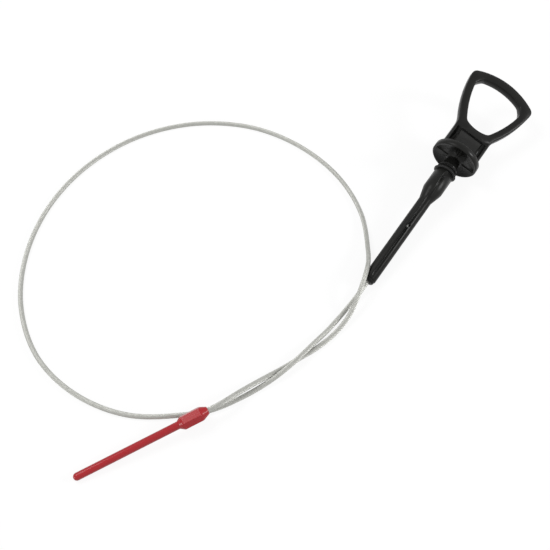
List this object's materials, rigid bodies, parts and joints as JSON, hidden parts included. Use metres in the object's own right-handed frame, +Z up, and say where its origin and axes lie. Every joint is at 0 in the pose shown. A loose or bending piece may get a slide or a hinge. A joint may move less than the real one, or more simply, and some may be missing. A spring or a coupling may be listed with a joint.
{
  "type": "engine oil dipstick",
  "caption": "Flexible engine oil dipstick: moulded finger-loop handle with tube cap, fluted rod with seal ring, stranded steel cable in a loose loop, round measuring tip.",
  "frame": {"origin": "Middle of the bounding box of the handle, rod and tip in plan, on the surface that the dipstick lies on.", "axes": "+Z up from that surface. The handle's axis lies over +Y, with the finger bow towards +Y and the cable leaving towards -Y. +X is to the right, seen from the cable's side; the cable's loop lies on the -X side."},
  "size_m": [0.2487, 0.4034, 0.0357],
  "materials": {
    "handle_plastic": "black moulded plastic, satin",
    "rod_plastic": "black moulded plastic, satin",
    "seal_rubber": "black rubber",
    "terminal_steel": "plain swaged steel",
    "cable_steel": "stranded galvanised steel wire",
    "tip_plastic": "red moulded plastic, satin"
  },
  "bodies": {
    "root": {"handle": "handle_plastic", "rod": "rod_plastic", "seal": "seal_rubber", "cable_terminal": "terminal_steel", "cable": "cable_steel", "tip": "tip_plastic"}
  },
  "joints": []
}
